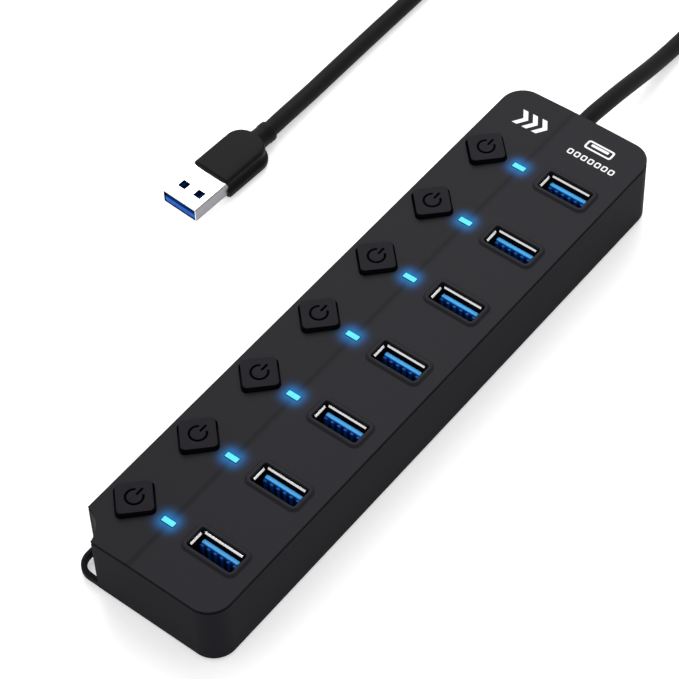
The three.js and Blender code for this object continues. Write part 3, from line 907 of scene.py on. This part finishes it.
# ---- cord and plug ----
def catmull_rom(points, steps):
    """A smooth line through points, sampled evenly between each two."""
    points = [Vector(p) for p in points]
    ends = [2 * points[0] - points[1]] + points + [2 * points[-1] - points[-2]]
    line = []
    for a, b, c, d in zip(ends, ends[1:], ends[2:], ends[3:]):
        square, cube = 2 * a - 5 * b + 4 * c - d, 3 * b - a - 3 * c + d
        for i in range(steps):
            t = i / steps
            line.append(0.5 * (2 * b + (c - a) * t + square * t**2 + cube * t**3))
    line.append(points[-1])
    return line


def plug_matrix():
    """From the plug's own frame to the scene's."""
    return Matrix.Translation(PLUG_ENTRY * MM) @ Matrix.Rotation(PLUG_TURN, 4, "Z")


def plug_point(x, y, z):
    """A point of the plug's own frame, whose cord comes in at the origin and whose nose points to -Y."""
    return PLUG_ENTRY + Matrix.Rotation(PLUG_TURN, 3, "Z") @ Vector((x, y, z))


def make_cord():
    """The cord, from inside its collar to inside the plug's neck."""
    hidden = 1.5
    start = COLLAR_END - Vector((0, hidden, 0))
    line = catmull_rom([start] + CORD_ROUTE + [plug_point(0, -hidden, 0)], 6)
    curve = bpy.data.curves.new("cord_line", "CURVE")
    curve.dimensions = "3D"
    curve.bevel_depth = CORD_D / 2 * MM
    curve.bevel_resolution = 7
    curve.use_fill_caps = True
    spline = curve.splines.new("POLY")
    spline.points.add(len(line) - 1)
    for point, place in zip(spline.points, line):
        point.co = (*(place * MM), 1)
    spline.use_smooth = True
    cord = new_object("usb_cord", curve, materials["sleeve"])
    place_piece(cord, "case", "cord_sleeve", "cord")
    return cord


def make_strain_relief():
    """The collar the cord leaves through, with its flange inside the wall."""
    out = CASE_L / 2
    profile = [
        (0, out - 3.5),
        (5.4, out - 3.5),
        (5.4, out - 1.5),
        (3.6, out - 1.5),
        (3.6, out + 0.6),
        (3.5, out + 0.8),
        (3.25, out + 0.9),
        (3.25, out + 1.7),
        (3.45, out + 1.8),
        (3.45, out + 2.7),
        (3.2, out + 2.8),
        (3.2, out + 3.5),
        (3.4, out + 3.6),
        (3.4, out + 4.6),
        (3.28, out + 4.88),
        (3.0, out + 5),
        (0, out + 5),
    ]
    spot = (COLLAR_END.x, 0, COLLAR_END.z)
    relief = new_object("cord_collar", lathe(profile, spot, "Y", 64), materials["sleeve"])
    place_piece(smooth(relief), "case", "cord_sleeve", "strain_relief")
    return relief


def soften(outline, times=3):
    """Cuts the corners of a closed outline until it is smooth."""
    for _ in range(times):
        pairs = zip(outline, outline[1:] + outline[:1])
        outline = [p for a, b in pairs for p in ((0.8 * a + 0.2 * b), (0.2 * a + 0.8 * b))]
    return outline


def grip_section(width, height, y):
    """A cross-section of the plug's grip: a flat top, a groove along each side and a wider foot."""
    w, h = width / 2, height / 2
    half = [
        (w - 1.5, h),
        (w - 0.75, h - 1.3),
        (w - 1.15, 0.75),
        (w - 0.95, 0.1),
        (w, -0.5),
        (w, -h + 1.2),
        (w - 0.9, -h),
    ]
    narrowest = 0.4
    half = [(max(x, narrowest), z) for x, z in half]
    outline = [Vector(p) for p in half + [(-x, z) for x, z in reversed(half)]]
    return [(p.x, y, p.y) for p in soften(outline)]


def make_grip():
    """The plug's moulded grip, narrowing round its rear corners, and the neck that the cord enters."""
    rings = []
    front = [(0.5, 0.0), (0.18, 0.12), (0.0, 0.45)]
    for inset, y in front:
        rings.append(grip_section(GRIP_W - 2 * inset, GRIP_H - 2 * inset, GRIP_FRONT + y))
    rings.append(grip_section(GRIP_W, GRIP_H, GRIP_REAR - GRIP_CORNER - 3))
    steps = 10
    for i in range(steps):
        a = math.pi / 2 * i / steps
        narrow = GRIP_CORNER * (1 - math.cos(a))
        width, height = GRIP_W - 2 * narrow, GRIP_H - 0.5 * narrow / GRIP_CORNER
        rings.append(grip_section(width, height, GRIP_REAR - GRIP_CORNER * (1 - math.sin(a))))
    rings.append(grip_section(GRIP_W - 2 * GRIP_CORNER - 0.4, GRIP_H - 1.4, GRIP_REAR))
    body = loft(rings)
    neck_profile = [
        (-6.2, 3.25),
        (-5.2, 3.1),
        (-4.2, 2.95),
        (-2.4, 2.9),
        (-2.1, 3.05),
        (-0.5, 3.05),
        (-0.15, 2.95),
        (0, 2.7),
    ]
    neck = []
    for y, radius in neck_profile:
        neck.append([(-x, y, z) for x, z in circle(0, 0, radius, 48)])
    grip = join("plug_grip", [body, loft(neck)], materials["grip"])
    grip.data.transform(plug_matrix())
    place_piece(smooth(grip, 50), "case", "plug_plastic", "plug_cover")
    return grip


def make_plug_shell():
    """The plug's folded steel shell with two square windows above and below."""
    back = PLUG_NOSE + PLUG_SHELL_L
    window, window_x, window_y = 2.6, 2.75, PLUG_NOSE + 5.15
    levels = [(0, back), (0, PLUG_NOSE + 0.35), (-0.05, PLUG_NOSE + 0.1), (-0.15, PLUG_NOSE)]
    levels += [(-SHELL_T, PLUG_NOSE + 0.06), (-SHELL_T, back)]
    rings = []
    for grow, y in levels:
        outline = rounded_rect(PLUG_W + 2 * grow, PLUG_H + 2 * grow, 0.55 + grow, 6)
        rings.append([(-x, y, z) for x, z in outline])
    shell = new_object("plug_sleeve", loft(rings, closed=True), materials["steel"])
    cutters = []
    for x in (-window_x, window_x):
        cutters.append(plate([rounded_rect(window, window, 0.12, 3, x, window_y)], -4, 4))
    cutter = join("window_cutter", cutters, None)
    cut = shell.modifiers.new("windows", "BOOLEAN")
    cut.object = cutter
    cut.solver = "EXACT"
    graph = bpy.context.evaluated_depsgraph_get()
    mesh = bpy.data.meshes.new_from_object(shell.evaluated_get(graph))
    shell.modifiers.clear()
    shell.data = mesh
    bpy.data.objects.remove(cutter)
    shell.data.materials.append(materials["steel_side"])
    shell.data.materials.append(materials["socket_painted_shade"])
    # Faces turned sideways take the darker steel, painted shade on the shell's sides; faces inside the
    # shell take painted shade as well.
    for face in shell.data.polygons:
        x, y, z = face.center / MM
        inside = abs(x) < PLUG_W / 2 - 0.2 and abs(z) < PLUG_H / 2 - 0.05 and y > PLUG_NOSE + 0.6
        face.material_index = 2 if inside else int(abs(face.normal.x) > 0.9)
    shell.data.transform(plug_matrix())
    place_piece(smooth(shell, 40), "case", "plated_steel", "plug_shell")
    return shell


def make_plug_insulator():
    """The blue carrier in the plug's lower half, with its contacts on top."""
    width = PLUG_W - 2 * SHELL_T - 0.1
    base = -PLUG_H / 2 + SHELL_T + 0.05
    carrier_top, rear_top, rear_length = base + 1.9, 1.9, 10
    contact_pitch = 2.3
    front, back = PLUG_NOSE + 0.3, PLUG_NOSE + PLUG_SHELL_L
    outline = rounded_rect(width, back - front, 0.3, 3, 0, (front + back) / 2)
    carrier = plate([outline], base, carrier_top, 0.12)
    block = rounded_rect(width, rear_length, 0.2, 3, 0, back - rear_length / 2)
    rear = plate([block], carrier_top - 0.05, rear_top, 0.05)
    meshes, indices = [carrier, rear], [0, 0]
    # The contacts on the carrier are coloured dark navy, painted shade in place of metal.
    for i in range(4):
        outline = rounded_rect(1.1, 6.5, 0.1, 2, (i - 1.5) * contact_pitch, PLUG_NOSE + 5.2)
        meshes.append(plate([outline], carrier_top - 0.05, carrier_top + 0.1, 0.03, 1))
        indices.append(1)
    insulator = join("plug_carrier", meshes, materials["blue"], indices)
    insulator.data.materials.append(materials["contact"])
    insulator.data.transform(plug_matrix())
    place_piece(smooth(insulator), "case", "blue_plastic", "plug_insulator")
    return insulator


# ---- CAD pieces that stay ----
def finish_cad_nodes():
    """Gives each CAD piece that stays its material."""
    looks = {
        "circuit_board": "board",
        "hub_controller": "chip",
        "screw": "screw",
        "switch_body": "chip",
        "switch_plunger": "white",
    }
    for name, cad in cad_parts.items():
        for start, look in looks.items():
            if name.startswith(start):
                cad.data.materials.clear()
                cad.data.materials.append(materials[look])


make_camera()
make_studio()
materials = make_materials()
cord = make_cord()
collar = make_strain_relief()
grip = make_grip()
plug_shell = make_plug_shell()
plug_insulator = make_plug_insulator()
make_cover()
make_tub()
make_feet()
for row in ROWS:
    make_port_shell(row)
    make_port_tongue(row)
    make_light(row)
    make_button(row)
make_print()
finish_cad_nodes()
